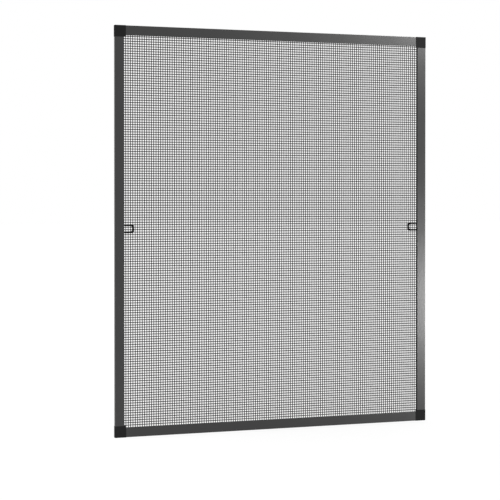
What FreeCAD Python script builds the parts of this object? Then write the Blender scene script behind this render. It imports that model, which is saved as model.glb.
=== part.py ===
import FreeCAD, Part
import math
import os

# A window screen frame: four hollow aluminium rails, four moulded corner pieces, mesh cloth that
# four spline cords hold in a groove, four brush seals on the window side and two pull handles.
# X runs across the frame, Y from the room side to the window side, and Z up. The origin is at the
# middle of the bottom edge, half way through the frame. Lengths are in millimetres.
# A place on a rail's section is given by "inward", counted from the rail's outer edge towards the
# opening, and "depth", counted from its front face towards the window.

# Overall sizes, over the corner pieces
overall_width = 1000.0
overall_height = 1200.0

# Rails
rail_face = 28.0
rail_depth = 10.0
rail_wall = 1.2
rail_edge_radius = 0.6
rail_lip_radius = 0.3

# The groove that takes the cloth and its spline, open to the window side
groove_width = 4.6
groove_floor_depth = 2.4
lip_width = 6.4
lip_depth = 7.5
nib_height = 0.5
nib_length = 1.4

# The slot that takes a brush seal, open to the window side
seal_slot_width = 7.3
seal_slot_height = 1.3
seal_mouth_width = 4.7
seal_slot_lip = 1.1

# Corner pieces
corner_reach = 33.3
corner_proud = 0.5
corner_plate = 2.2
corner_outer_radius = 1.5
corner_inner_radius = 0.8
corner_edge_chamfer = 0.4
corner_slot_end_wall = 1.5
leg_length = 38.0
leg_fit_clearance = 0.12
leg_core_inset = 0.7
leg_rib_count = 6
leg_rib_thickness = 1.6
leg_tip_length = 4.0
leg_tip_step = 0.5

# Mesh cloth: a wall with gaps, bars of a few threads side by side between them, and single
# threads that run across the gaps, upright ones in front and level ones behind
upright_thread_pitch = 7.03
level_thread_pitch = 7.13
thread_width = 2.2
thread_relief = 0.3
thread_end_clearance = 0.3
cloth_thickness = 0.6
gap_columns = 10
gap_rows = 12
threads_per_bar = 2
threads_per_gap = 3
tuck_height = 4.2

# Spline cords
spline_diameter = 3.2
spline_clearance = 0.05
spline_end_clearance = 0.2

# Brush seals
seal_base_width = 6.9
seal_base_thickness = 0.9
seal_pile_width = 4.2
seal_pile_stand = 2.0
seal_clearance = 0.1

# Pull handles
handle_height = 26.0
handle_reach = 31.2
handle_leg = 5.4
handle_bar = 5.9
handle_thickness = 3.0
handle_depth = 3.0
handle_outer_radius = 6.6
handle_inner_radius = 4.2
handle_edge_chamfer = 0.6
handle_middle_height = 608.0
handle_tail = 4.0
handle_barb = 0.6
handle_barb_length = 1.7
handle_slot_clearance = 0.1
handle_play = 1.0

# Places that follow from these sizes
groove_end = rail_face - lip_width
groove_start = groove_end - groove_width
groove_middle = (groove_start + groove_end) / 2
small_chamber_start = groove_end + rail_wall
small_chamber_end = rail_face - rail_wall
main_chamber_end = groove_start - rail_wall
seal_slot_start = 2 * rail_wall
seal_slot_end = seal_slot_start + seal_slot_width
seal_middle = (seal_slot_start + seal_slot_end) / 2
seal_slot_floor = rail_depth - seal_slot_lip - seal_slot_height
seal_lip_floor = rail_depth - seal_slot_lip
rail_rear_floor = rail_depth - rail_wall
step_start = seal_slot_end + rail_wall
step_floor = seal_slot_floor - rail_wall
cloth_back = lip_depth + cloth_thickness
depth_middle = (rail_depth + seal_pile_stand - corner_proud) / 2
half_width = overall_width / 2
half_height = overall_height / 2
rail_edge_x = half_width - corner_proud
rail_edge_z = half_height - corner_proud

# The four sides, each turned about Y from a piece that is built along the bottom edge
SIDES = {
    "bottom": (0.0, FreeCAD.Vector(0, 0, 0)),
    "left": (90.0, FreeCAD.Vector(-half_width, 0, half_height)),
    "top": (180.0, FreeCAD.Vector(0, 0, overall_height)),
    "right": (-90.0, FreeCAD.Vector(half_width, 0, half_height)),
}

# The four corners, each turned about Y from the one at the bottom left
CORNERS = {
    "bottom_left": (0.0, FreeCAD.Vector(-half_width, 0, 0)),
    "top_left": (90.0, FreeCAD.Vector(-half_width, 0, overall_height)),
    "top_right": (180.0, FreeCAD.Vector(half_width, 0, overall_height)),
    "bottom_right": (-90.0, FreeCAD.Vector(half_width, 0, 0)),
}


def point(x, depth, z):
    return FreeCAD.Vector(x, depth - depth_middle, z)


def block(x_span, depth_span, z_span):
    return Part.makeBox(
        x_span[1] - x_span[0],
        depth_span[1] - depth_span[0],
        z_span[1] - z_span[0],
        point(x_span[0], depth_span[0], z_span[0]),
    )


def rounded_wire(corners):
    # A closed outline through the given points, each with its own corner radius
    ends = []
    edges = []
    count = len(corners)
    for index in range(count):
        place, radius = corners[index]
        if radius == 0:
            ends.append((place, place))
            continue
        before = (corners[index - 1][0] - place).normalize()
        after = (corners[(index + 1) % count][0] - place).normalize()
        half_angle = before.getAngle(after) / 2
        inward = (before + after).normalize()
        run = radius / math.tan(half_angle)
        centre = place + inward * (radius / math.sin(half_angle))
        start = place + before * run
        end = place + after * run
        edges.append(Part.Arc(start, centre - inward * radius, end).toShape())
        ends.append((start, end))
    for index in range(count):
        leave = ends[index][1]
        arrive = ends[(index + 1) % count][0]
        edges.append(Part.LineSegment(leave, arrive).toShape())
    return Part.Wire(Part.__sortEdges__(edges))


def section_wire(corners):
    # An outline across a rail at the bottom edge: inward is up, counted from the rail's outer face
    places = [(point(0, depth, inward + corner_proud), radius) for inward, depth, radius in corners]
    return rounded_wire(places)


def bar_along_bottom(wires, length):
    face = Part.makeFace(wires, "Part::FaceMakerBullseye")
    bar = face.extrude(FreeCAD.Vector(length, 0, 0))
    bar.translate(FreeCAD.Vector(-length / 2, 0, 0))
    return bar


def slab(corners, depth_span):
    # A flat piece with an outline seen from the front, between two depths
    wire = rounded_wire([(point(x, depth_span[0], z), radius) for x, z, radius in corners])
    return Part.Face(wire).extrude(FreeCAD.Vector(0, depth_span[1] - depth_span[0], 0))


def rectangle(inward_span, depth_span):
    low, high = inward_span
    front, back = depth_span
    return [(low, front, 0), (high, front, 0), (high, back, 0), (low, back, 0)]


def turned(shape, placing):
    angle, place = placing
    copy = shape.copy()
    copy.rotate(FreeCAD.Vector(0, 0, 0), FreeCAD.Vector(0, 1, 0), angle)
    copy.translate(place)
    return copy


def main_chamber(inset):
    # The stepped chamber that the corner pieces' legs plug into, drawn smaller by the inset
    return [
        (rail_wall + inset, rail_wall + inset, 0),
        (main_chamber_end - inset, rail_wall + inset, 0),
        (main_chamber_end - inset, rail_rear_floor - inset, 0),
        (step_start + inset, rail_rear_floor - inset, 0),
        (step_start + inset, step_floor - inset, 0),
        (rail_wall + inset, step_floor - inset, 0),
    ]


def rail_outline():
    mouth_start = seal_middle - seal_mouth_width / 2
    mouth_end = seal_middle + seal_mouth_width / 2
    nib_end = groove_start + nib_height
    return [
        (0, 0, rail_edge_radius),
        (rail_face, 0, rail_edge_radius),
        (rail_face, lip_depth, rail_lip_radius),
        (groove_end, lip_depth, rail_lip_radius),
        (groove_end, groove_floor_depth, 0),
        (groove_start, groove_floor_depth, 0),
        (groove_start, rail_depth - nib_length, 0),
        (nib_end, rail_depth - nib_length + nib_height, 0),
        (nib_end, rail_depth - nib_height, 0),
        (groove_start, rail_depth, 0),
        (mouth_end, rail_depth, 0),
        (mouth_end, seal_lip_floor, 0),
        (seal_slot_end, seal_lip_floor, 0),
        (seal_slot_end, seal_slot_floor, 0),
        (seal_slot_start, seal_slot_floor, 0),
        (seal_slot_start, seal_lip_floor, 0),
        (mouth_start, seal_lip_floor, 0),
        (mouth_start, rail_depth, 0),
        (0, rail_depth, rail_edge_radius),
    ]


def rail(length):
    small_chamber = rectangle((small_chamber_start, small_chamber_end), (rail_wall, lip_depth - rail_wall))
    wires = [section_wire(outline) for outline in (rail_outline(), main_chamber(0), small_chamber)]
    return bar_along_bottom(wires, length - 2 * (corner_proud + corner_reach))


def handle_leg_heights():
    offset = (handle_height - handle_leg) / 2
    return (handle_middle_height - offset, handle_middle_height + offset)


def handle_slots(side):
    # The windows punched through the rail's inner wall for the two legs of a handle
    outward = -1 if side == "left" else 1
    inner_face = outward * (rail_edge_x - rail_face)
    through = inner_face + outward * rail_wall
    half = handle_leg / 2 + handle_slot_clearance
    depths = (handle_depth - handle_slot_clearance, handle_depth + handle_thickness + handle_slot_clearance)
    xs = (min(inner_face, through), max(inner_face, through))
    return [block(xs, depths, (height - half, height + half)) for height in handle_leg_heights()]


def spline(length, crossing):
    # The cords of the top and bottom end against the upright ones, which run past them
    end = corner_proud + groove_start + cloth_thickness + spline_end_clearance
    if crossing:
        end = end + spline_diameter + 2 * spline_end_clearance
    radius = spline_diameter / 2
    depth = groove_floor_depth + cloth_thickness + spline_clearance + radius
    centre = point(-length / 2 + end, depth, groove_middle + corner_proud)
    return Part.makeCylinder(radius, length - 2 * end, centre, FreeCAD.Vector(1, 0, 0))


def brush_seal(length, crossing):
    # A backing strip in the rail's slot with a band of pile that stands out behind the frame
    end = corner_proud + corner_slot_end_wall + seal_clearance
    if crossing:
        end = corner_proud + seal_slot_end
    base_front = seal_slot_floor + seal_clearance
    base_back = base_front + seal_base_thickness
    base_low = seal_middle - seal_base_width / 2
    base_high = seal_middle + seal_base_width / 2
    pile_low = seal_middle - seal_pile_width / 2
    pile_high = seal_middle + seal_pile_width / 2
    pile_back = rail_depth + seal_pile_stand
    outline = [
        (base_low, base_front, 0),
        (base_high, base_front, 0),
        (base_high, base_back, 0),
        (pile_high, base_back, 0),
        (pile_high, pile_back, 0),
        (pile_low, pile_back, 0),
        (pile_low, base_back, 0),
        (base_low, base_back, 0),
    ]
    return bar_along_bottom([section_wire(outline)], length - 2 * end)


def corner_leg():
    # A ribbed leg along the bottom rail, from the corner's end face to its narrower tip
    start = corner_proud + corner_reach
    tip = start + leg_length

    def stretch(inset, low, high):
        face = Part.Face(section_wire(main_chamber(inset)))
        piece = face.extrude(FreeCAD.Vector(high - low, 0, 0))
        piece.translate(FreeCAD.Vector(low, 0, 0))
        return piece

    core = stretch(leg_core_inset, start, tip - leg_tip_length)
    pilot = stretch(leg_core_inset + leg_tip_step, tip - leg_tip_length, tip)
    ribs = []
    rib_step = (leg_length - leg_tip_length) / leg_rib_count
    for index in range(leg_rib_count):
        low = start + index * rib_step
        ribs.append(stretch(leg_fit_clearance, low, low + leg_rib_thickness))
    return core.multiFuse([pilot] + ribs).removeSplitter()


def corner_piece():
    # The piece at the bottom left, with its outer corner at x 0, z 0
    proud = corner_proud
    size = proud + corner_reach
    step = proud + rail_face
    plate = slab(
        [
            (0, 0, corner_outer_radius),
            (size, 0, 0),
            (size, size, corner_inner_radius),
            (0, size, 0),
        ],
        (-proud, corner_plate),
    )
    front_edges = [edge for edge in plate.Edges if edge.BoundBox.YMax < -proud - depth_middle + 0.01]
    plate = plate.makeChamfer(corner_edge_chamfer, front_edges)
    body = slab(
        [
            (0, 0, corner_outer_radius),
            (size, 0, 0),
            (size, step, 0),
            (step, step, 0),
            (step, size, 0),
            (0, size, 0),
        ],
        (corner_plate, rail_depth),
    )
    leg = corner_leg()
    other_leg = leg.mirror(FreeCAD.Vector(0, 0, 0), FreeCAD.Vector(1, 0, -1))
    piece = plate.multiFuse([body, leg, other_leg])
    behind = rail_depth + 1
    beyond = size + 1
    lip = proud + groove_end
    groove = (proud + groove_start, proud + groove_end)
    slot = (proud + seal_slot_start, proud + seal_slot_end)
    slot_end = proud + corner_slot_end_wall
    cuts = [
        block((lip, beyond), (lip_depth, behind), (lip, beyond)),
        block(groove, (groove_floor_depth, behind), (groove[0], beyond)),
        block((groove[0], beyond), (groove_floor_depth, behind), groove),
        block(slot, (seal_slot_floor, behind), (slot_end, beyond)),
        block((slot_end, beyond), (seal_slot_floor, behind), slot),
    ]
    return piece.cut(cuts).removeSplitter()


def ring(inward_span, depth_span):
    # A band of cloth that runs once round the frame
    outer, inner = inward_span
    outer_x = rail_edge_x - outer
    outer_z = rail_edge_z - outer
    inner_x = rail_edge_x - inner
    inner_z = rail_edge_z - inner
    band = block((-outer_x, outer_x), depth_span, (half_height - outer_z, half_height + outer_z))
    return band.cut(block((-inner_x, inner_x), depth_span, (half_height - inner_z, half_height + inner_z)))


def thread_rows(span, pitch, gaps):
    # The threads in one direction, counted over the field from its middle: those of each bar, and
    # the single ones in each gap. Every thread keeps its true place in the cloth's count of cells.
    cells = round(2 * span / pitch)
    step = 2 * span / cells

    def place(number):
        return number * step - span

    bars = []
    singles = []
    for index in range(gaps):
        first = round(index * cells / gaps)
        if index > 0:
            bars.append([place(first + k) for k in range(threads_per_bar)])
        for k in range(threads_per_gap):
            singles.append(place(round((index + (k + 1) / (threads_per_gap + 1)) * cells / gaps)))
    return bars, singles


def gap_spans(span, bars):
    # The clear spans between the bars, from one edge of the field to the other
    half_thread = thread_width / 2
    lows = [-span] + [bar[-1] + half_thread for bar in bars]
    highs = [bar[0] - half_thread for bar in bars] + [span]
    return list(zip(lows, highs))


def insect_mesh():
    # The cloth lies on the rails' inner lips and is tucked round the spline cords
    field_x = rail_edge_x - rail_face
    field_z = rail_edge_z - rail_face
    sheet_x = rail_edge_x - groove_end + cloth_thickness
    sheet_z = rail_edge_z - groove_end + cloth_thickness
    upright_bars, upright_threads = thread_rows(field_x, upright_thread_pitch, gap_columns)
    level_bars, level_threads = thread_rows(field_z, level_thread_pitch, gap_rows)
    front = point(0, lip_depth, 0).y

    def rectangle_wire(low_x, high_x, low_z, high_z):
        places = [(low_x, low_z), (high_x, low_z), (high_x, high_z), (low_x, high_z), (low_x, low_z)]
        return Part.makePolygon([FreeCAD.Vector(x, front, half_height + z) for x, z in places])

    wires = [rectangle_wire(-sheet_x, sheet_x, -sheet_z, sheet_z)]
    for low_x, high_x in gap_spans(field_x, upright_bars):
        for low_z, high_z in gap_spans(field_z, level_bars):
            wires.append(rectangle_wire(low_x, high_x, low_z, high_z))
    sheet = Part.makeFace(wires, "Part::FaceMakerBullseye").extrude(FreeCAD.Vector(0, cloth_thickness, 0))

    half_thread = thread_width / 2
    reach_x = field_x - thread_end_clearance
    reach_z = field_z - thread_end_clearance
    front_span = (lip_depth - thread_relief, lip_depth)
    back_span = (cloth_back, cloth_back + thread_relief)
    threads = []
    for x in sum(upright_bars, upright_threads):
        run = (half_height - reach_z, half_height + reach_z)
        threads.append(block((x - half_thread, x + half_thread), front_span, run))
    for z in sum(level_bars, level_threads):
        middle = half_height + z
        threads.append(block((-reach_x, reach_x), back_span, (middle - half_thread, middle + half_thread)))

    tuck_floor = groove_floor_depth
    tuck_back = groove_floor_depth + tuck_height
    borders = [
        ring((groove_end - cloth_thickness, groove_end), (tuck_floor, lip_depth)),
        ring((groove_start, groove_end - cloth_thickness), (tuck_floor, tuck_floor + cloth_thickness)),
        ring((groove_start, groove_start + cloth_thickness), (tuck_floor + cloth_thickness, tuck_back)),
    ]
    return sheet.multiFuse(threads + borders).removeSplitter()


def pull_handle():
    # The left handle, with x counted from the rail's inner face and z from its middle
    half = handle_height / 2
    inside = half - handle_leg
    inner_end = handle_reach - handle_bar
    loop = slab(
        [
            (-handle_tail, half, 0),
            (handle_reach, half, handle_outer_radius),
            (handle_reach, -half, handle_outer_radius),
            (-handle_tail, -half, 0),
            (-handle_tail, -inside, 0),
            (inner_end, -inside, handle_inner_radius),
            (inner_end, inside, handle_inner_radius),
            (-handle_tail, inside, 0),
        ],
        (handle_depth, handle_depth + handle_thickness),
    )
    rim = [edge for edge in loop.Edges if edge.BoundBox.YLength < 0.01 and edge.BoundBox.XMax > 0]
    loop = loop.makeChamfer(handle_edge_chamfer, rim)
    barb_start = -rail_wall - handle_slot_clearance - handle_play
    barbs = []
    for sign in (-1, 1):
        corners = [
            (barb_start, sign * half, 0),
            (barb_start, sign * (half + handle_barb), 0),
            (barb_start - handle_barb_length, sign * half, 0),
            (barb_start - handle_barb_length, sign * (half - handle_barb), 0),
            (barb_start, sign * (half - handle_barb), 0),
        ]
        depths = (handle_depth + handle_edge_chamfer, handle_depth + handle_thickness - handle_edge_chamfer)
        barbs.append(slab(corners, depths))
    return loop.multiFuse(barbs).removeSplitter()


def build():
    pieces = {}
    for side, placing in SIDES.items():
        upright = side in ("left", "right")
        length = overall_height if upright else overall_width
        piece = turned(rail(length), placing)
        if upright:
            piece = piece.cut(handle_slots(side))
        pieces[side + "_rail"] = piece
        pieces[side + "_spline"] = turned(spline(length, not upright), placing)
        pieces[side + "_brush_seal"] = turned(brush_seal(length, not upright), placing)
    corner = corner_piece()
    for name, placing in CORNERS.items():
        pieces[name + "_corner"] = turned(corner, placing)
    pieces["insect_mesh"] = insect_mesh()
    # The left handle is pressed in by its clips' play, and the right one drawn out by it
    handle = pull_handle()
    inner_face = rail_edge_x - rail_face
    for name, turn, x in (("left_handle", 0.0, -inner_face), ("right_handle", 180.0, inner_face)):
        place = FreeCAD.Vector(x - handle_play, 0, handle_middle_height)
        pieces[name] = turned(handle, (turn, place))
    return pieces


os.makedirs("parts", exist_ok=True)
for name, shape in build().items():
    shape.exportStep("parts/" + name + ".step")
    print(name, "valid" if shape.isValid() else "NOT VALID", len(shape.Solids), "solid", round(shape.Volume))
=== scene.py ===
"""Window screen frame: cloth, cords, seals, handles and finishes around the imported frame."""

import math

import bmesh
import bpy
import numpy as np
from bpy.props import FloatProperty, FloatVectorProperty, IntProperty, PointerProperty
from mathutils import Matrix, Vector


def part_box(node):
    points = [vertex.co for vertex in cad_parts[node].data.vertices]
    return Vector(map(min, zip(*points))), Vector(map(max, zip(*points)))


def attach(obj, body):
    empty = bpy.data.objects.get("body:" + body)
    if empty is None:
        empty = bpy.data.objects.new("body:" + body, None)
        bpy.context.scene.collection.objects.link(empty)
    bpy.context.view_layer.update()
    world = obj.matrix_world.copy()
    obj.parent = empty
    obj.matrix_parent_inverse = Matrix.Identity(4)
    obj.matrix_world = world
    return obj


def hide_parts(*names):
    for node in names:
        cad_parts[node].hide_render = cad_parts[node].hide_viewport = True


bl_info = {
    "name": "Window screen frame",
    "version": (1, 0, 0),
    "blender": (4, 5, 0),
    "location": "View3D > Sidebar > Window screen",
    "description": "Weaves the cloth of a window screen and finishes its rails, corners, cords and seals",
    "category": "Object",
}

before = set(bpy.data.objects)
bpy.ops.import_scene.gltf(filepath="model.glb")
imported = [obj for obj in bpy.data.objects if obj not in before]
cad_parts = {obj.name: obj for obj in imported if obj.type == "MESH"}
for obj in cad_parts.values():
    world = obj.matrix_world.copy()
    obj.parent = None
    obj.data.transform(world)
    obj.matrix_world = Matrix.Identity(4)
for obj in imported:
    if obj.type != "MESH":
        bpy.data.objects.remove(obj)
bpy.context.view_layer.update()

MM = 0.001
SIDES = ("bottom", "top", "left", "right")
CORNERS = ("bottom_left", "top_left", "top_right", "bottom_right")

# Places that the frame's section has in the CAD source, in millimetres. Inward counts from a
# rail's outer edge towards the opening, and depth from its front face towards the window.
RAIL_EDGE_X = 499.5
RAIL_EDGE_LOW = 0.5
RAIL_EDGE_HIGH = 1199.5
RAIL_FACE = 28.0
FRONT = -5.75

# The cloth: its middle plane, where its first thread may lie, and its path round the cord in the
# groove, from the cut end down to the groove's floor, along it and up to the rail's lip
CLOTH_Y = 2.05
FIRST_THREAD_INWARD = 21.0
TUCK_OUTER_INWARD = 17.35
TUCK_INNER_INWARD = 21.15
TUCK_END_DEPTH = 6.3
TUCK_FLOOR_DEPTH = 2.72
TUCK_LIP_DEPTH = 7.95

# The cords: their middle line, how much of their radius the ribs take, and the length of a step
CORD_INWARD = 19.3
CORD_DEPTH = 4.65
CORD_RIB_SHARE = 0.035
CORD_STEP = 40

# The brush seals: the backing strip's outline, and the band of pile with its rows of tufts
SEAL_STRIP = ((2.6, 7.7), (9.5, 7.7), (9.5, 8.35), (9.25, 8.6), (2.85, 8.6), (2.6, 8.35))
PILE_MIDDLE = 6.05
PILE_INWARD = (3.97, 8.13)
PILE_TIP_DEPTH = 12.0
OUTER_ROW = 1.62
ROW_OFFSET = 0.45
ROW_END = 0.6

# The three rings of a tuft, each with its depth, its radius and the share of the tuft's lean that
# it takes, and how far chance moves, shortens and leans a tuft
TUFT_ROOT = (8.55, 0.46, 0.0)
TUFT_MIDDLE = (10.6, 0.5, 0.45)
TUFT_TIP_RADIUS = 0.16
TUFT_SCATTER_ALONG = 0.2
TUFT_SCATTER_ACROSS = 0.12
TUFT_LOSS = 0.16
TUFT_LARGEST_LOSS = 0.6
TUFT_LEAN = 0.3
TUFT_LEAN_ACROSS = 0.6

# What a handle has behind the rail's inner face, in metres
HANDLE_TAIL = 0.004
HANDLE_CORNER_STEPS = 8

DUST_COLOUR = (0.22, 0.21, 0.2, 1.0)

# The stage: places and sizes in metres, angles in degrees, the camera's sensor in millimetres and
# the picture in pixels. The floor and the surround show white, and light the screen less than that.
FLOOR_REACH = 30.0
FLOOR_GLOW = 1.104
FLOOR_GLOW_SHARE = 0.7
SURROUND_LIGHT = 0.8
LAMP_SIZE = 0.3
LOW_LAMP_PLACE = (1.327, -1.0, 0.28)
LOW_LAMP_AIM = (0.2, 0.0, 0.45)
HIGH_LAMP_PLACE = (1.198, -1.0, 1.708)
HIGH_LAMP_AIM = (0.2, 0.0, 1.0)
FILL_LAMP_SIZE = 0.15
FILL_LAMP_PLACE = (-0.68, -0.38, 0.1)
FILL_LAMP_AIM = (-0.48, 0.0, 0.02)
WIDE_LIGHT_ANGLE = 70.0
WIDE_LIGHT_TILT = 42.0
WIDE_LIGHT_TURN = -28.0
SENSOR_WIDTH = 36.0
PICTURE_WIDTH = 500.0


# Sizes and colours that a user would change

class CoatingSettings(bpy.types.PropertyGroup):
    colour: FloatVectorProperty(
        name="Coating colour",
        description="Anthracite coating on the rails",
        subtype="COLOR",
        size=3,
        min=0.0,
        max=1.0,
        default=(0.0475, 0.0475, 0.0475),
    )
    worn_colour: FloatVectorProperty(
        name="Worn colour",
        description="Coating rubbed thin along the rails' edges",
        subtype="COLOR",
        size=3,
        min=0.0,
        max=1.0,
        default=(0.085, 0.085, 0.086),
    )
    # Painted shade: a near-black colour laid on the rails' faces round the opening, as if they lay in the
    # recess's shadow.
    rim_colour: FloatVectorProperty(
        name="Rim painted shade",
        description="Painted shade on the rails' faces round the opening, which are also matt",
        subtype="COLOR",
        size=3,
        min=0.0,
        max=1.0,
        default=(0.004, 0.004, 0.004),
    )
    roughness: FloatProperty(
        name="Roughness",
        description="How much the coating scatters a reflection",
        subtype="FACTOR",
        min=0.0,
        max=1.0,
        default=0.3,
    )
    metallic: FloatProperty(
        name="Metal flake",
        description="Share of the coating that reflects as metal",
        subtype="FACTOR",
        min=0.0,
        max=1.0,
        default=0.8,
    )
    grain_size: FloatProperty(
        name="Grain size",
        description="Width of one bump of the powder coating",
        unit="LENGTH",
        min=0.0001,
        default=0.0008,
    )
    wear_width: FloatProperty(
        name="Wear width",
        description="How far the wear reaches from an edge",
        unit="LENGTH",
        min=0.0,
        default=0.0004,
    )


class PlasticSettings(bpy.types.PropertyGroup):
    corner_colour: FloatVectorProperty(
        name="Corner colour",
        description="Moulded plastic of the corner pieces",
        subtype="COLOR",
        size=3,
        min=0.0,
        max=1.0,
        default=(0.0098, 0.0098, 0.0098),
    )
    corner_roughness: FloatProperty(
        name="Corner roughness",
        description="Roughness of the corner pieces' moulded grain",
        subtype="FACTOR",
        min=0.0,
        max=1.0,
        default=0.7,
    )
    grain_size: FloatProperty(
        name="Grain size",
        description="Width of one bump of the moulded grain",
        unit="LENGTH",
        min=0.0001,
        default=0.0004,
    )


class HandleSettings(bpy.types.PropertyGroup):
    colour: FloatVectorProperty(
        name="Handle colour",
        description="Plastic of the pull handles",
        subtype="COLOR",
        size=3,
        min=0.0,
        max=1.0,
        default=(0.0015, 0.0015, 0.0015),
    )
    reach: FloatProperty(
        name="Reach",
        description="How far a handle reaches over the cloth from the rail's inner face",
        unit="LENGTH",
        default=0.0312,
    )
    height: FloatProperty(
        name="Height",
        description="Height of a handle",
        unit="LENGTH",
        default=0.026,
    )
    leg: FloatProperty(
        name="Leg",
        description="Height of each leg",
        unit="LENGTH",
        default=0.0054,
    )
    bar: FloatProperty(
        name="Bar",
        description="Width of the grip bar",
        unit="LENGTH",
        default=0.0059,
    )
    outer_radius: FloatProperty(
        name="Outer corner radius",
        description="Radius of the handle's outer corners",
        unit="LENGTH",
        default=0.0066,
    )
    inner_radius: FloatProperty(
        name="Inner corner radius",
        description="Radius of the opening's corners",
        unit="LENGTH",
        default=0.0042,
    )
    edge_radius: FloatProperty(
        name="Edge radius",
        description="Rounding along the handle's edges",
        unit="LENGTH",
        default=0.0008,
    )


class ClothSettings(bpy.types.PropertyGroup):
    colour: FloatVectorProperty(
        name="Yarn colour",
        description="Coated yarn of the insect cloth",
        subtype="COLOR",
        size=3,
        min=0.0,
        max=1.0,
        default=(0.006, 0.006, 0.006),
    )
    upright_pitch: FloatProperty(
        name="Upright thread pitch",
        description="Distance from one upright thread to the next",
        unit="LENGTH",
        min=0.003,
        default=0.007046,
    )
    level_pitch: FloatProperty(
        name="Level thread pitch",
        description="Distance from one level thread to the next",
        unit="LENGTH",
        min=0.003,
        default=0.0071344,
    )
    level_start: FloatProperty(
        name="Level thread start",
        description="Height of one level thread, from which the others are counted",
        unit="LENGTH",
        default=0.59795,
    )
    thread_width: FloatProperty(
        name="Thread width",
        description="Width of one coated thread",
        unit="LENGTH",
        min=0.0001,
        default=0.00238,
    )
    thread_thickness: FloatProperty(
        name="Thread thickness",
        description="Thickness of one coated thread",
        unit="LENGTH",
        min=0.0001,
        default=0.0004,
    )
    weave_lift: FloatProperty(
        name="Weave lift",
        description="How far a level thread passes in front of or behind an upright one",
        unit="LENGTH",
        default=0.0004,
    )


class CordSettings(bpy.types.PropertyGroup):
    colour: FloatVectorProperty(
        name="Cord colour",
        description="Rubber of the cords that hold the cloth in its groove",
        subtype="COLOR",
        size=3,
        min=0.0,
        max=1.0,
        default=(0.011, 0.011, 0.011),
    )
    diameter: FloatProperty(
        name="Diameter",
        description="Diameter over the cord's ribs",
        unit="LENGTH",
        default=0.0032,
    )
    ribs: IntProperty(
        name="Ribs",
        description="Ribs round the cord",
        min=3,
        default=14,
    )


class SealSettings(bpy.types.PropertyGroup):
    pile_colour: FloatVectorProperty(
        name="Pile colour",
        description="Brush fibres that close the gap to the window",
        subtype="COLOR",
        size=3,
        min=0.0,
        max=1.0,
        default=(0.03, 0.03, 0.031),
    )
    tuft_pitch: FloatProperty(
        name="Tuft pitch",
        description="Distance from one tuft to the next along the seal",
        unit="LENGTH",
        min=0.0005,
        default=0.0017,
    )
    tuft_rows: IntProperty(
        name="Tuft rows",
        description="Rows of tufts side by side",
        min=1,
        default=5,
    )


class StageSettings(bpy.types.PropertyGroup):
    floor_colour: FloatVectorProperty(
        name="Floor colour",
        description="Plain pale floor",
        subtype="COLOR",
        size=3,
        min=0.0,
        max=1.0,
        default=(0.9, 0.9, 0.9),
    )
    camera_place: FloatVectorProperty(
        name="Camera place",
        description="Where the camera stands",
        subtype="TRANSLATION",
        unit="LENGTH",
        size=3,
        default=(-1.5384, -4.0984, 0.7059),
    )
    camera_turn: FloatProperty(
        name="Camera turn",
        description="How far the camera turns towards the right rail",
        subtype="ANGLE",
        default=math.radians(19.5693),
    )
    camera_dip: FloatProperty(
        name="Camera dip",
        description="How far the camera looks down",
        subtype="ANGLE",
        default=math.radians(0.539),
    )
    focal_pixels: FloatProperty(
        name="Focal length",
        description="Focal length in pixels of a picture 500 pixels wide",
        default=1449.0,
    )
    centre_line: FloatProperty(
        name="Centre line",
        description="Row of the picture that the camera's axis meets, of 500",
        default=208.8,
    )
    low_lamp_power: FloatProperty(
        name="Low lamp power",
        description="Lamp whose reflection lies low on the right rail",
        unit="POWER",
        default=22.4,
    )
    high_lamp_power: FloatProperty(
        name="High lamp power",
        description="Lamp whose reflection lies at the top right corner",
        unit="POWER",
        default=40.5,
    )
    fill_lamp_power: FloatProperty(
        name="Fill lamp power",
        description="Faint lamp near the floor that lightens the bottom left corner",
        unit="POWER",
        default=0.9,
    )
    soft_light: FloatProperty(
        name="Soft light",
        description="Strength of the wide light from the front left, above",
        min=0.0,
        default=0.8,
    )


# Node trees

def add_node(tree, kind, place, **settings):
    node = tree.nodes.new(kind)
    node.location = place
    for name, value in settings.items():
        setattr(node, name, value)
    return node


def math_node(tree, operation, place, first, second=None, clamp=False):
    node = add_node(tree, "ShaderNodeMath", place, operation=operation, use_clamp=clamp)
    for socket, value in zip(node.inputs, (first, second)):
        if isinstance(value, bpy.types.NodeSocket):
            tree.links.new(value, socket)
        elif value is not None:
            socket.default_value = value
    return node.outputs[0]


def new_group(name, inputs, outputs):
    group = bpy.data.node_groups.new(name, "ShaderNodeTree")
    for label, kind, default in inputs:
        socket = group.interface.new_socket(label, in_out="INPUT", socket_type=kind)
        socket.default_value = default
    for label, kind in outputs:
        group.interface.new_socket(label, in_out="OUTPUT", socket_type=kind)
    entry = add_node(group, "NodeGroupInput", (-900, 0))
    leave = add_node(group, "NodeGroupOutput", (600, 0))
    return group, entry.outputs, leave.inputs


def grain_group():
    """Fine bumps of a coating or a moulding, with a slower change of shade over them."""
    group, given, out = new_group(
        "Surface grain",
        [("Size", "NodeSocketFloat", 0.0005), ("Patch size", "NodeSocketFloat", 0.08)],
        [("Height", "NodeSocketFloat"), ("Shade", "NodeSocketFloat")],
    )
    place = add_node(group, "ShaderNodeTexCoord", (-900, -250)).outputs["Object"]
    fine = math_node(group, "DIVIDE", (-650, 150), 1.0, given["Size"])
    slow = math_node(group, "DIVIDE", (-650, -100), 1.0, given["Patch size"])
    bumps = add_node(group, "ShaderNodeTexNoise", (-400, 150))
    bumps.inputs["Detail"].default_value = 2.0
    bumps.inputs["Roughness"].default_value = 0.55
    group.links.new(place, bumps.inputs["Vector"])
    group.links.new(fine, bumps.inputs["Scale"])
    patches = add_node(group, "ShaderNodeTexNoise", (-400, -150))
    patches.inputs["Detail"].default_value = 3.0
    group.links.new(place, patches.inputs["Vector"])
    group.links.new(slow, patches.inputs["Scale"])
    group.links.new(bumps.outputs["Fac"], out["Height"])
    group.links.new(patches.outputs["Fac"], out["Shade"])
    return group


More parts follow.
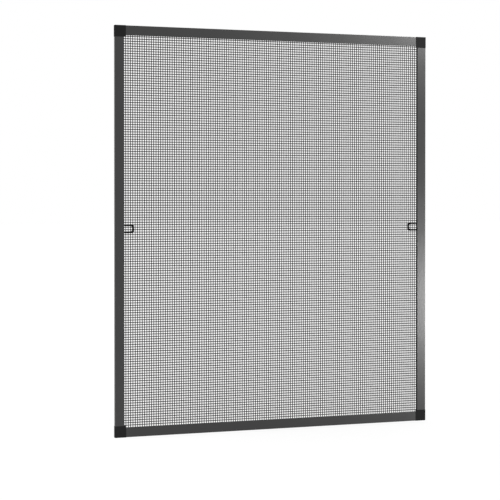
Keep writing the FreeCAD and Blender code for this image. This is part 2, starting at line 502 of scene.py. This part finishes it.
def wear_group():
    """Mask of the narrow line along outer edges that handling rubs, broken up by noise."""
    group, given, out = new_group(
        "Edge wear",
        [
            ("Width", "NodeSocketFloat", 0.0005),
            ("Amount", "NodeSocketFloat", 0.5),
            ("Break size", "NodeSocketFloat", 0.006),
        ],
        [("Mask", "NodeSocketFloat")],
    )
    rounded = add_node(group, "ShaderNodeBevel", (-650, 200), samples=6)
    group.links.new(given["Width"], rounded.inputs["Radius"])
    facing = add_node(group, "ShaderNodeNewGeometry", (-650, 0)).outputs["Normal"]
    same = add_node(group, "ShaderNodeVectorMath", (-400, 150), operation="DOT_PRODUCT")
    group.links.new(rounded.outputs["Normal"], same.inputs[0])
    group.links.new(facing, same.inputs[1])
    turned = math_node(group, "SUBTRACT", (-200, 150), 1.0, same.outputs["Value"])
    edge = math_node(group, "MULTIPLY", (0, 150), turned, 6.0, clamp=True)
    place = add_node(group, "ShaderNodeTexCoord", (-650, -250)).outputs["Object"]
    scale = math_node(group, "DIVIDE", (-650, -450), 1.0, given["Break size"])
    breaks = add_node(group, "ShaderNodeTexNoise", (-400, -250))
    breaks.inputs["Detail"].default_value = 4.0
    group.links.new(place, breaks.inputs["Vector"])
    group.links.new(scale, breaks.inputs["Scale"])
    patchy = add_node(group, "ShaderNodeMapRange", (-200, -250))
    patchy.inputs["From Min"].default_value = 0.42
    patchy.inputs["From Max"].default_value = 0.68
    group.links.new(breaks.outputs["Fac"], patchy.inputs["Value"])
    broken = math_node(group, "MULTIPLY", (200, 0), edge, patchy.outputs["Result"])
    group.links.new(math_node(group, "MULTIPLY", (400, 0), broken, given["Amount"]), out["Mask"])
    return group


def dust_group():
    """Mask of the dust that settles on faces that look up."""
    group, given, out = new_group(
        "Settled dust",
        [("Amount", "NodeSocketFloat", 0.2), ("Patch size", "NodeSocketFloat", 0.03)],
        [("Mask", "NodeSocketFloat")],
    )
    facing = add_node(group, "ShaderNodeNewGeometry", (-850, 200)).outputs["Normal"]
    parts = add_node(group, "ShaderNodeSeparateXYZ", (-650, 200))
    group.links.new(facing, parts.inputs[0])
    upward = add_node(group, "ShaderNodeMapRange", (-400, 200))
    upward.inputs["From Min"].default_value = 0.35
    upward.inputs["From Max"].default_value = 1.0
    group.links.new(parts.outputs["Z"], upward.inputs["Value"])
    place = add_node(group, "ShaderNodeTexCoord", (-850, -200)).outputs["Object"]
    scale = math_node(group, "DIVIDE", (-650, -350), 1.0, given["Patch size"])
    patches = add_node(group, "ShaderNodeTexNoise", (-400, -200))
    patches.inputs["Detail"].default_value = 5.0
    group.links.new(place, patches.inputs["Vector"])
    group.links.new(scale, patches.inputs["Scale"])
    laid = math_node(group, "MULTIPLY", (0, 0), upward.outputs["Result"], patches.outputs["Fac"])
    group.links.new(math_node(group, "MULTIPLY", (250, 0), laid, given["Amount"]), out["Mask"])
    return group


def painted_rim_shade_group():
    """Mask of the faces round the opening, which look towards the middle of the frame, where shade is
    painted as if they lay in the recess's shadow.
    """
    group, given, out = new_group(
        "Painted rim shade",
        [("Amount", "NodeSocketFloat", 1.0)],
        [("Mask", "NodeSocketFloat")],
    )
    surface = add_node(group, "ShaderNodeNewGeometry", (-900, 200))
    towards = add_node(group, "ShaderNodeVectorMath", (-650, 100), operation="SUBTRACT")
    towards.inputs[0].default_value = (0.0, 0.0, (RAIL_EDGE_LOW + RAIL_EDGE_HIGH) / 2 * MM)
    group.links.new(surface.outputs["Position"], towards.inputs[1])
    unit = add_node(group, "ShaderNodeVectorMath", (-450, 100), operation="NORMALIZE")
    group.links.new(towards.outputs["Vector"], unit.inputs[0])
    looks = add_node(group, "ShaderNodeVectorMath", (-250, 200), operation="DOT_PRODUCT")
    group.links.new(surface.outputs["True Normal"], looks.inputs[0])
    group.links.new(unit.outputs["Vector"], looks.inputs[1])
    inside = add_node(group, "ShaderNodeMapRange", (0, 200))
    inside.inputs["From Min"].default_value = 0.3
    inside.inputs["From Max"].default_value = 0.5
    group.links.new(looks.outputs["Value"], inside.inputs["Value"])
    group.links.new(
        math_node(group, "MULTIPLY", (250, 100), inside.outputs["Result"], given["Amount"]), out["Mask"]
    )
    return group


def effect(name, maker):
    return bpy.data.node_groups.get(name) or maker()


def place_group(tree, group, place, **values):
    node = add_node(tree, "ShaderNodeGroup", place, node_tree=group)
    for name, value in values.items():
        node.inputs[name.replace("_", " ")].default_value = value
    return node.outputs


def mix_colour(tree, place, amount, first, second):
    node = add_node(tree, "ShaderNodeMix", place, data_type="RGBA")
    for socket, value in ((node.inputs[0], amount), (node.inputs[6], first), (node.inputs[7], second)):
        if isinstance(value, bpy.types.NodeSocket):
            tree.links.new(value, socket)
        else:
            socket.default_value = value
    return node.outputs[2]


def rgba(colour, factor=1.0):
    return (*(min(1.0, part * factor) for part in colour), 1.0)


def map_range(tree, place, value, low, high):
    node = add_node(tree, "ShaderNodeMapRange", place)
    node.inputs["To Min"].default_value = low
    node.inputs["To Max"].default_value = high
    tree.links.new(value, node.inputs["Value"])
    return node.outputs["Result"]


def finish_material(name, colour, roughness, grain_size, grain_depth, **more):
    """A material of drifting colour, grain bumps, worn edges and settled dust.

    more may hold metallic, specular, drift, worn_colour, wear_width, wear_amount, dust_amount,
    rim_colour, a colour of painted shade that darkens the faces round the opening, takes their metal
    gloss away and makes them matt, and height, a function that adds a socket of its own to the bump.
    """
    material = bpy.data.materials.new(name)
    material.use_nodes = True
    tree = material.node_tree
    shader = tree.nodes["Principled BSDF"]
    shader.location = (700, 0)
    shader.inputs["Metallic"].default_value = more.get("metallic", 0.0)
    shader.inputs["Specular IOR Level"].default_value = more.get("specular", 0.4)

    grain = place_group(tree, effect("Surface grain", grain_group), (-700, 100), Size=grain_size)
    drift = more.get("drift", 0.06)
    base = mix_colour(
        tree, (-400, 250), grain["Shade"], rgba(colour, 1.0 - drift), rgba(colour, 1.0 + drift)
    )
    wear = place_group(
        tree,
        effect("Edge wear", wear_group),
        (-700, -150),
        Width=more.get("wear_width", 0.0004),
        Amount=more.get("wear_amount", 0.5),
    )
    worn = more.get("worn_colour", tuple(part * 1.6 + 0.004 for part in colour))
    base = mix_colour(tree, (-150, 250), wear["Mask"], base, rgba(worn))
    dust = place_group(
        tree,
        effect("Settled dust", dust_group),
        (-700, -400),
        Amount=more.get("dust_amount", 0.1),
    )
    base = mix_colour(tree, (100, 250), dust["Mask"], base, DUST_COLOUR)
    # Painted shade: the faces round the opening take a near-black colour and lose their metal gloss, as
    # if in the recess's shadow.
    if "rim_colour" in more:
        rim = place_group(tree, effect("Painted rim shade", painted_rim_shade_group), (-700, -650), Amount=0.95)["Mask"]
        base = mix_colour(tree, (300, 250), rim, base, rgba(more["rim_colour"]))
        metal = map_range(tree, (300, 50), rim, more["metallic"], 0.0)
        tree.links.new(metal, shader.inputs["Metallic"])
    tree.links.new(base, shader.inputs["Base Color"])

    rough = map_range(tree, (-150, -50), grain["Shade"], roughness - 0.03, roughness + 0.03)
    rough = math_node(tree, "ADD", (100, -50), rough, math_node(
        tree, "MULTIPLY", (-150, -250), dust["Mask"], 0.5
    ), clamp=True)
    if "rim_colour" in more:
        rough = math_node(tree, "MAXIMUM", (300, -50), rough, math_node(
            tree, "MULTIPLY", (100, -200), rim, 0.8
        ))
    tree.links.new(rough, shader.inputs["Roughness"])

    height = math_node(tree, "MULTIPLY", (-150, -450), grain["Height"], grain_depth)
    if "height" in more:
        height = math_node(tree, "ADD", (100, -450), height, more["height"](tree))
    bump = add_node(tree, "ShaderNodeBump", (400, -350))
    bump.inputs["Distance"].default_value = 1.0
    tree.links.new(height, bump.inputs["Height"])
    tree.links.new(bump.outputs["Normal"], shader.inputs["Normal"])
    return material


# Meshes

def on_side(side, along, inward, depth):
    """A point of the frame's section on one side, in metres; inward counts from the rail's edge."""
    along, inward, depth = np.broadcast_arrays(along, inward, depth)
    back = depth + FRONT
    if side == "bottom":
        parts = (along, back, RAIL_EDGE_LOW + inward)
    elif side == "top":
        parts = (along, back, RAIL_EDGE_HIGH - inward)
    elif side == "left":
        parts = (inward - RAIL_EDGE_X, back, along)
    else:
        parts = (RAIL_EDGE_X - inward, back, along)
    return np.stack(parts, axis=-1) * MM


def run_of(side, node):
    """Where a node starts and ends along its side, in millimetres."""
    low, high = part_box(node)
    axis = 0 if side in ("bottom", "top") else 2
    return low[axis] / MM, high[axis] / MM


def build_mesh(name, points, faces, smooth=True):
    mesh = bpy.data.meshes.new(name)
    mesh.from_pydata(np.asarray(points, float).tolist(), [], faces)
    mesh.validate()
    work = bmesh.new()
    work.from_mesh(mesh)
    bmesh.ops.recalc_face_normals(work, faces=work.faces)
    work.to_mesh(mesh)
    work.free()
    mesh.polygons.foreach_set("use_smooth", [smooth] * len(mesh.polygons))
    return mesh


def add_piece(name, mesh, materials, slot, *nodes):
    for material in materials:
        mesh.materials.append(material)
    piece = bpy.data.objects.new(name, mesh)
    bpy.context.scene.collection.objects.link(piece)
    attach(piece, "root")
    if nodes:
        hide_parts(*nodes)
    return piece


def dress_nodes(nodes, material):
    for name in nodes:
        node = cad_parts[name]
        if not node.material_slots:
            node.data.materials.append(material)
        for slot in node.material_slots:
            slot.material = material


def tube_run(along, depth, across, width, thickness, upright):
    """Flat threads side by side: the rings of four corners, and the faces between them.

    along and depth hold one row of stations for each thread, and across one place for each.
    """
    step_along = np.gradient(along, axis=1)
    step_depth = np.gradient(depth, axis=1)
    length = np.hypot(step_along, step_depth)
    out_along = -step_depth / length * thickness / 2
    out_depth = step_along / length * thickness / 2
    rings = []
    for out, side in ((1, -1), (1, 1), (-1, 1), (-1, -1)):
        a = along + out * out_along
        d = depth + out * out_depth
        c = np.broadcast_to(across[:, None] + side * width / 2, a.shape)
        rings.append(np.stack((c, d, a) if upright else (a, d, c), axis=-1))
    points = np.stack(rings, axis=2)
    threads, stations = along.shape
    first = np.arange(threads * stations * 4).reshape(threads, stations, 4)
    here, there = first[:, :-1, :], first[:, 1:, :]
    quads = np.stack((here, np.roll(here, -1, 2), np.roll(there, -1, 2), there), axis=-1)
    ends = np.concatenate((first[:, 0, ::-1], first[:, -1, :]))
    quads = np.concatenate((quads.reshape(-1, 4), ends))
    if upright:
        quads = quads[:, ::-1]
    return points.reshape(-1, 3), quads


def tucked_ends(low_edge, high_edge):
    """Stations of a thread that runs over the lip and round the cord in the groove, both ends."""
    outer, inner = TUCK_OUTER_INWARD, TUCK_INNER_INWARD
    inward = np.array([outer, outer, inner, inner])
    depth = np.array([TUCK_END_DEPTH, TUCK_FLOOR_DEPTH, TUCK_FLOOR_DEPTH, TUCK_LIP_DEPTH]) + FRONT
    return (low_edge + inward, depth), (high_edge - inward[::-1], depth[::-1])


def threads_between(low, high, start, pitch):
    """Places of the threads between low and high, counted from the thread at start."""
    first = math.ceil((low - start) / pitch)
    last = math.floor((high - start) / pitch)
    return start + pitch * np.arange(first, last + 1)


def yarn_coordinates(mesh, points, upright_count, width):
    """Coordinates along and round each thread, in metres, for the twist of the yarn."""
    layer = mesh.uv_layers.new(name="along the yarn")
    corners = np.zeros(len(mesh.loops), np.int32)
    mesh.loops.foreach_get("vertex_index", corners)
    place = points[corners]
    run = np.where(corners < upright_count, place[:, 2], place[:, 0])
    layer.data.foreach_set("uv", np.stack((run, corners % 4 * width / 2), axis=1).ravel())


class WINDOWSCREEN_OT_weave_cloth(bpy.types.Operator):
    """Weaves the insect cloth and tucks it round the cords in the rails' groove"""

    bl_idname = "windowscreen.weave_cloth"
    bl_label = "Weave cloth"

    def execute(self, context):
        size = context.scene.window_screen_cloth
        width = size.thread_width / MM
        thickness = size.thread_thickness / MM
        lift = size.weave_lift / MM
        low_x, high_x = -RAIL_EDGE_X, RAIL_EDGE_X
        low_z, high_z = RAIL_EDGE_LOW, RAIL_EDGE_HIGH
        first = FIRST_THREAD_INWARD
        across = threads_between(low_x + first, high_x - first, 0.0, size.upright_pitch / MM)
        up = threads_between(
            low_z + first, high_z - first, size.level_start / MM, size.level_pitch / MM
        )
        on_upright_lip = np.abs(across) > high_x - RAIL_FACE - width / 2
        on_level_lip = np.abs(up - (low_z + high_z) / 2) > (high_z - low_z) / 2 - RAIL_FACE - width / 2

        (start, start_depth), (end, end_depth) = tucked_ends(low_z, high_z)
        stations = np.concatenate((start, end))
        depths = np.concatenate((start_depth, end_depth))
        along = np.repeat(stations[None, :], len(across), axis=0)
        depth = np.repeat(depths[None, :], len(across), axis=0)
        depth[:, 3:5] = CLOTH_Y
        upright_points, upright_faces = tube_run(along, depth, across, width, thickness, True)

        (start, start_depth), (end, end_depth) = tucked_ends(low_x, high_x)
        turn = np.add.outer(np.arange(len(up)), np.arange(len(across))) % 2
        passing = CLOTH_Y + np.where(turn == 0, lift, -lift)
        passing[:, on_upright_lip] = CLOTH_Y + lift
        passing[on_level_lip, :] = CLOTH_Y + lift
        along = np.repeat(np.concatenate((start, across, end))[None, :], len(up), axis=0)
        depth = np.concatenate(
            (
                np.repeat(start_depth[None, :], len(up), axis=0),
                passing,
                np.repeat(end_depth[None, :], len(up), axis=0),
            ),
            axis=1,
        )
        level_points, level_faces = tube_run(along, depth, up, width, thickness, False)

        points = np.concatenate((upright_points, level_points)) * MM
        faces = np.concatenate((upright_faces, level_faces + len(upright_points)))
        mesh = bpy.data.meshes.new("screen_cloth")
        mesh.from_pydata(points.tolist(), [], faces.tolist())
        mesh.polygons.foreach_set("use_smooth", [True] * len(mesh.polygons))
        yarn_coordinates(mesh, points, len(upright_points), size.thread_width)

        def twist(tree):
            place = add_node(tree, "ShaderNodeUVMap", (-1200, -650), uv_map="along the yarn")
            waves = add_node(
                tree, "ShaderNodeTexWave", (-950, -650), wave_type="BANDS", bands_direction="DIAGONAL"
            )
            waves.inputs["Scale"].default_value = 260.0
            waves.inputs["Distortion"].default_value = 0.6
            tree.links.new(place.outputs["UV"], waves.inputs["Vector"])
            return math_node(tree, "MULTIPLY", (-700, -650), waves.outputs["Fac"], 0.00012)

        yarn = finish_material(
            "coated yarn",
            size.colour,
            roughness=0.55,
            grain_size=0.0005,
            grain_depth=0.00003,
            specular=0.1,
            wear_amount=0.0,
            dust_amount=0.03,
            height=twist,
        )
        cloth = add_piece("screen_cloth", mesh, [yarn], "mesh_yarn", "insect_mesh")
        return {"FINISHED"}


class WINDOWSCREEN_OT_press_cords(bpy.types.Operator):
    """Presses the four ribbed cords into the groove that holds the cloth"""

    bl_idname = "windowscreen.press_cords"
    bl_label = "Press cords"

    def execute(self, context):
        size = context.scene.window_screen_cords
        rubber = finish_material(
            "cord rubber",
            size.colour,
            roughness=0.62,
            grain_size=0.0006,
            grain_depth=0.00003,
            specular=0.3,
            wear_amount=0.2,
        )
        turns = np.linspace(0, 2 * math.pi, size.ribs * 4, endpoint=False)
        ribbed = 1.0 - CORD_RIB_SHARE + CORD_RIB_SHARE * np.cos(turns * size.ribs)
        radius = size.diameter / MM / 2 * ribbed
        for side in SIDES:
            low, high = run_of(side, side + "_spline")
            stations = np.linspace(low, high, 2 + int((high - low) / CORD_STEP))
            places = stations[:, None] + np.zeros_like(turns)[None, :]
            inward = np.broadcast_to(CORD_INWARD + radius * np.cos(turns), places.shape)
            depth = np.broadcast_to(CORD_DEPTH + radius * np.sin(turns), places.shape)
            points = on_side(side, places, inward, depth).reshape(-1, 3)
            count = len(turns)
            index = np.arange(len(points)).reshape(len(stations), count)
            here, there = index[:-1], index[1:]
            faces = np.stack((here, np.roll(here, -1, 1), np.roll(there, -1, 1), there), axis=-1)
            faces = faces.reshape(-1, 4).tolist() + [index[0].tolist(), index[-1].tolist()]
            mesh = build_mesh(side + "_cord", points, faces)
            add_piece(side + "_cord", mesh, [rubber], "spline_rubber", side + "_spline")
        return {"FINISHED"}


class WINDOWSCREEN_OT_brush_seals(bpy.types.Operator):
    """Sets the brush seals: a backing strip in the slot, and tufts of pile that lean a little"""

    bl_idname = "windowscreen.brush_seals"
    bl_label = "Brush seals"

    def execute(self, context):
        size = context.scene.window_screen_seals

        def fibres(tree):
            place = add_node(tree, "ShaderNodeTexCoord", (-1200, -650)).outputs["Object"]
            flat = add_node(tree, "ShaderNodeMapping", (-1000, -650))
            flat.inputs["Scale"].default_value = (9000.0, 900.0, 9000.0)
            strands = add_node(tree, "ShaderNodeTexNoise", (-800, -650))
            strands.inputs["Scale"].default_value = 1.0
            tree.links.new(place, flat.inputs["Vector"])
            tree.links.new(flat.outputs["Vector"], strands.inputs["Vector"])
            return math_node(tree, "MULTIPLY", (-600, -650), strands.outputs["Fac"], 0.0001)

        pile = finish_material(
            "seal pile",
            size.pile_colour,
            roughness=0.9,
            grain_size=0.0003,
            grain_depth=0.00004,
            specular=0.15,
            drift=0.25,
            wear_amount=0.0,
            dust_amount=0.25,
            height=fibres,
        )
        backing = finish_material(
            "seal backing",
            size.pile_colour,
            roughness=0.5,
            grain_size=0.0005,
            grain_depth=0.00002,
            specular=0.35,
            wear_amount=0.2,
        )
        outline = len(SEAL_STRIP)
        for order, side in enumerate(SIDES):
            low, high = run_of(side, side + "_brush_seal")
            points = [
                on_side(side, place, inward, depth)
                for place in (low, high)
                for inward, depth in SEAL_STRIP
            ]
            faces = []
            for here in range(outline):
                there = (here + 1) % outline
                faces.append([here, there, there + outline, here + outline])
            faces += [list(range(outline)), list(range(2 * outline - 1, outline - 1, -1))]
            strip_faces = len(faces)
            chance = np.random.default_rng(40 + order)
            per_row = int((high - low - 1.0) * MM / size.tuft_pitch)
            rows = np.linspace(-OUTER_ROW, OUTER_ROW, size.tuft_rows)
            in_row = np.linspace(low + ROW_END, high - ROW_END, per_row)
            places = in_row[None, :] + np.zeros((len(rows), 1))
            places = places + (np.arange(len(rows)) % 2)[:, None] * ROW_OFFSET
            scatter = chance.uniform(-TUFT_SCATTER_ALONG, TUFT_SCATTER_ALONG, places.shape)
            places = (places + scatter).ravel()
            scatter = chance.uniform(-TUFT_SCATTER_ACROSS, TUFT_SCATTER_ACROSS, (len(rows), per_row))
            inward = (PILE_MIDDLE + rows[:, None] + scatter).ravel()
            loss = np.abs(chance.normal(0.0, TUFT_LOSS, places.shape))
            tip = PILE_TIP_DEPTH - loss.clip(0, TUFT_LARGEST_LOSS)
            lean = chance.uniform(-TUFT_LEAN, TUFT_LEAN, (2, len(places)))
            spin = chance.uniform(0, 2 * math.pi, places.shape)
            tufts = []
            for depth, radius, share in (TUFT_ROOT, TUFT_MIDDLE, (tip, TUFT_TIP_RADIUS, 1.0)):
                for corner in range(3):
                    turn = spin + corner * 2 * math.pi / 3
                    a = places + lean[0] * share + radius * np.cos(turn)
                    i = inward + lean[1] * share * TUFT_LEAN_ACROSS + radius * np.sin(turn)
                    a = a.clip(low, high)
                    i = i.clip(*PILE_INWARD)
                    tufts.append(on_side(side, a, i, depth))
            tufts = np.stack(tufts, axis=1)
            base = len(points) + np.arange(len(places))[:, None] * 9
            for corner in range(3):
                after = (corner + 1) % 3
                for ring in (0, 3):
                    over = ring + 3
                    quad = np.array([ring + corner, ring + after, over + after, over + corner])
                    faces += (base + quad).tolist()
            faces += (base + np.array([6, 7, 8])).tolist()
            points = np.concatenate((np.array(points).reshape(-1, 3), tufts.reshape(-1, 3)))
            mesh = build_mesh(side + "_brush", points, faces)
            piece = add_piece(side + "_brush", mesh, [pile, backing], "seal_pile", side + "_brush_seal")
            for face in piece.data.polygons[:strip_faces]:
                face.material_index = 1
                face.use_smooth = False
        return {"FINISHED"}


def rounded_corner(corner, before, after, radius):
    """Points of an arc that rounds one square corner of a handle's outline."""
    corner, before, after = Vector(corner), Vector(before), Vector(after)
    first = (before - corner).normalized()
    second = (after - corner).normalized()
    centre = corner + (first + second) * radius
    start = corner + first * radius - centre
    end = corner + second * radius - centre
    arc = []
    for step in range(HANDLE_CORNER_STEPS + 1):
        turn = step / HANDLE_CORNER_STEPS * math.pi / 2
        arc.append(centre + start * math.cos(turn) + end * math.sin(turn))
    return arc


class WINDOWSCREEN_OT_pull_handles(bpy.types.Operator):
    """Makes the two pull handles as smooth mouldings with rounded edges"""

    bl_idname = "windowscreen.pull_handles"
    bl_label = "Pull handles"

    def execute(self, context):
        size = context.scene.window_screen_handles
        plastic = finish_material(
            "handle plastic",
            size.colour,
            roughness=0.55,
            grain_size=0.0004,
            grain_depth=0.000015,
            specular=0.025,
            wear_amount=0.3,
            dust_amount=0.02,
        )
        half = size.height / 2
        inside = half - size.leg
        grip = size.reach - size.bar
        tail = -HANDLE_TAIL
        outer, inner = size.outer_radius, size.inner_radius
        outline = [Vector((tail, half))]
        outline += rounded_corner((size.reach, half), (tail, half), (size.reach, -half), outer)
        outline += rounded_corner((size.reach, -half), (size.reach, half), (tail, -half), outer)
        outline += [Vector((tail, -half)), Vector((tail, -inside))]
        outline += rounded_corner((grip, -inside), (tail, -inside), (grip, inside), inner)
        outline += rounded_corner((grip, inside), (grip, -inside), (tail, inside), inner)
        outline += [Vector((tail, inside))]
        for side, sign in (("left", 1), ("right", -1)):
            low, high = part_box(side + "_handle")
            middle = (low.z + high.z) / 2
            grip_edge = high.x if side == "left" else low.x
            work = bmesh.new()
            corners = [
                work.verts.new((grip_edge + sign * (p.x - size.reach), low.y, middle + p.y))
                for p in outline
            ]
            face = work.faces.new(corners)
            grown = bmesh.ops.extrude_face_region(work, geom=[face])
            raised = [item for item in grown["geom"] if isinstance(item, bmesh.types.BMVert)]
            bmesh.ops.translate(work, verts=raised, vec=(0.0, high.y - low.y, 0.0))
            bmesh.ops.recalc_face_normals(work, faces=work.faces)
            rim = [
                edge
                for edge in work.edges
                if abs(edge.verts[0].co.y - edge.verts[1].co.y) < 1e-7
                and len(edge.link_faces) == 2
            ]
            bmesh.ops.bevel(
                work, geom=rim, offset=size.edge_radius, segments=4, profile=0.5, affect="EDGES"
            )
            mesh = bpy.data.meshes.new(side + "_pull")
            work.to_mesh(mesh)
            work.free()
            mesh.polygons.foreach_set("use_smooth", [True] * len(mesh.polygons))
            mesh.set_sharp_from_angle(angle=math.radians(50))
            add_piece(side + "_pull", mesh, [plastic], "handle_plastic", side + "_handle")
        return {"FINISHED"}


class WINDOWSCREEN_OT_coat_rails(bpy.types.Operator):
    """Gives the four rails their fine-textured anthracite coating"""

    bl_idname = "windowscreen.coat_rails"
    bl_label = "Coat rails"

    def execute(self, context):
        size = context.scene.window_screen_coating
        coating = finish_material(
            "anthracite coating",
            size.colour,
            roughness=size.roughness,
            grain_size=size.grain_size,
            grain_depth=0.00002,
            metallic=size.metallic,
            # Painted shade on the faces round the opening.
            rim_colour=tuple(size.rim_colour),
            drift=0.04,
            worn_colour=tuple(size.worn_colour),
            wear_width=size.wear_width,
            wear_amount=0.5,
            dust_amount=0.06,
        )
        dress_nodes([side + "_rail" for side in SIDES], coating)
        return {"FINISHED"}


class WINDOWSCREEN_OT_finish_corners(bpy.types.Operator):
    """Gives the four corner pieces their moulded grain"""

    bl_idname = "windowscreen.finish_corners"
    bl_label = "Finish corners"

    def execute(self, context):
        size = context.scene.window_screen_plastic
        plastic = finish_material(
            "corner plastic",
            size.corner_colour,
            roughness=size.corner_roughness,
            grain_size=size.grain_size,
            grain_depth=0.00004,
            specular=0.08,
            wear_width=0.0005,
            wear_amount=0.35,
            dust_amount=0.04,
        )
        dress_nodes([corner + "_corner" for corner in CORNERS], plastic)
        return {"FINISHED"}


def seen_ray(tree, place):
    """1 for rays from the camera, from gloss and through glass, which see the white background."""
    path = add_node(tree, "ShaderNodeLightPath", place)
    gloss = math_node(
        tree,
        "MAXIMUM",
        (place[0] + 200, place[1]),
        path.outputs["Is Glossy Ray"],
        path.outputs["Is Transmission Ray"],
    )
    return math_node(
        tree, "MAXIMUM", (place[0] + 400, place[1]), path.outputs["Is Camera Ray"], gloss
    )


def add_lamp(name, place, aim, width, power, shines):
    """A round lamp out of the camera's sight, which either only shines in reflections or never does."""
    lamp = bpy.data.lights.new(name, "AREA")
    lamp.shape = "DISK"
    lamp.size = width
    lamp.energy = power
    holder = bpy.data.objects.new(name, lamp)
    holder.location = place
    towards = Vector(aim) - Vector(place)
    holder.rotation_euler = towards.to_track_quat("-Z", "Y").to_euler()
    holder.visible_glossy = shines
    holder.visible_diffuse = not shines
    holder.visible_camera = False
    bpy.context.scene.collection.objects.link(holder)


class WINDOWSCREEN_OT_set_stage(bpy.types.Operator):
    """Lays the pale floor and sets the soft lamps, the white surround and the camera"""

    bl_idname = "windowscreen.set_stage"
    bl_label = "Set stage"

    def execute(self, context):
        size = context.scene.window_screen_stage
        scene = context.scene

        paint = bpy.data.materials.new("pale floor")
        paint.use_nodes = True
        tree = paint.node_tree
        shader = tree.nodes["Principled BSDF"]
        shader.inputs["Roughness"].default_value = 0.9
        shader.inputs["Specular IOR Level"].default_value = 0.0
        grain = place_group(tree, effect("Surface grain", grain_group), (-500, 0), Size=0.02)
        tone = mix_colour(
            tree, (-200, 0), grain["Shade"], rgba(size.floor_colour, 0.985), rgba(size.floor_colour)
        )
        tree.links.new(tone, shader.inputs["Base Color"])
        glow = add_node(tree, "ShaderNodeEmission", (0, -300))
        glow.inputs["Strength"].default_value = FLOOR_GLOW
        seen = seen_ray(tree, (-800, -350))
        share = math_node(tree, "MULTIPLY", (-150, -350), seen, FLOOR_GLOW_SHARE)
        both = add_node(tree, "ShaderNodeMixShader", (300, -100))
        tree.links.new(share, both.inputs[0])
        tree.links.new(shader.outputs[0], both.inputs[1])
        tree.links.new(glow.outputs[0], both.inputs[2])
        tree.links.new(both.outputs[0], tree.nodes["Material Output"].inputs["Surface"])
        reach = FLOOR_REACH
        corners = [(-reach, -reach, 0), (reach, -reach, 0), (reach, reach, 0), (-reach, reach, 0)]
        mesh = bpy.data.meshes.new("floor")
        mesh.from_pydata(corners, [], [(0, 1, 2, 3)])
        mesh.materials.append(paint)
        floor = bpy.data.objects.new("floor", mesh)
        scene.collection.objects.link(floor)

        world = bpy.data.worlds.new("white surround")
        world.use_nodes = True
        scene.world = world
        tree = world.node_tree
        surround = tree.nodes["Background"]
        surround.inputs["Color"].default_value = (1.0, 1.0, 1.0, 1.0)
        rest = 1.0 - SURROUND_LIGHT
        level = math_node(tree, "MULTIPLY", (-200, 0), seen_ray(tree, (-900, 0)), rest)
        level = math_node(tree, "ADD", (0, 0), level, SURROUND_LIGHT)
        tree.links.new(level, surround.inputs["Strength"])

        for name, place, aim, width, power, shines in (
            ("low lamp", LOW_LAMP_PLACE, LOW_LAMP_AIM, LAMP_SIZE, size.low_lamp_power, True),
            ("high lamp", HIGH_LAMP_PLACE, HIGH_LAMP_AIM, LAMP_SIZE, size.high_lamp_power, True),
            ("fill lamp", FILL_LAMP_PLACE, FILL_LAMP_AIM, FILL_LAMP_SIZE, size.fill_lamp_power, False),
        ):
            add_lamp(name, place, aim, width, power, shines)
        wide = bpy.data.lights.new("wide light", "SUN")
        wide.energy = size.soft_light
        wide.angle = math.radians(WIDE_LIGHT_ANGLE)
        holder = bpy.data.objects.new("wide light", wide)
        holder.rotation_euler = (math.radians(WIDE_LIGHT_TILT), 0.0, math.radians(WIDE_LIGHT_TURN))
        holder.visible_glossy = False
        scene.collection.objects.link(holder)

        lens = bpy.data.cameras.new("camera")
        lens.sensor_width = SENSOR_WIDTH
        lens.lens = size.focal_pixels * SENSOR_WIDTH / PICTURE_WIDTH
        lens.shift_y = size.centre_line / PICTURE_WIDTH - 0.5
        camera = bpy.data.objects.new("camera", lens)
        camera.location = size.camera_place
        camera.rotation_euler = (math.pi / 2 - size.camera_dip, 0.0, -size.camera_turn)
        scene.collection.objects.link(camera)
        scene.camera = camera
        scene.view_settings.view_transform = "Standard"
        return {"FINISHED"}


class WINDOWSCREEN_PT_build(bpy.types.Panel):
    """Lists the steps that finish the screen"""

    bl_idname = "WINDOWSCREEN_PT_build"
    bl_label = "Window screen"
    bl_space_type = "VIEW_3D"
    bl_region_type = "UI"
    bl_category = "Window screen"

    def draw(self, context):
        for name in ("coating", "plastic", "cloth", "cords", "seals", "handles", "stage"):
            settings = getattr(context.scene, "window_screen_" + name)
            box = self.layout.box()
            box.label(text=name.capitalize())
            for key in settings.__annotations__:
                box.prop(settings, key)
        for operator in STEPS:
            self.layout.operator(operator.bl_idname)


SETTINGS = {
    "coating": CoatingSettings,
    "plastic": PlasticSettings,
    "cloth": ClothSettings,
    "cords": CordSettings,
    "seals": SealSettings,
    "handles": HandleSettings,
    "stage": StageSettings,
}
STEPS = (
    WINDOWSCREEN_OT_coat_rails,
    WINDOWSCREEN_OT_finish_corners,
    WINDOWSCREEN_OT_weave_cloth,
    WINDOWSCREEN_OT_press_cords,
    WINDOWSCREEN_OT_brush_seals,
    WINDOWSCREEN_OT_pull_handles,
    WINDOWSCREEN_OT_set_stage,
)


def register():
    for name, group in SETTINGS.items():
        bpy.utils.register_class(group)
        setattr(bpy.types.Scene, "window_screen_" + name, PointerProperty(type=group))
    for operator in STEPS:
        bpy.utils.register_class(operator)
    bpy.utils.register_class(WINDOWSCREEN_PT_build)


def unregister():
    bpy.utils.unregister_class(WINDOWSCREEN_PT_build)
    for operator in reversed(STEPS):
        bpy.utils.unregister_class(operator)
    for name, group in reversed(SETTINGS.items()):
        delattr(bpy.types.Scene, "window_screen_" + name)
        bpy.utils.unregister_class(group)


def main():
    register()
    bpy.ops.windowscreen.coat_rails()
    bpy.ops.windowscreen.finish_corners()
    bpy.ops.windowscreen.weave_cloth()
    bpy.ops.windowscreen.press_cords()
    bpy.ops.windowscreen.brush_seals()
    bpy.ops.windowscreen.pull_handles()
    bpy.ops.windowscreen.set_stage()
    bpy.context.view_layer.update()


if __name__ == "__main__":
    main()
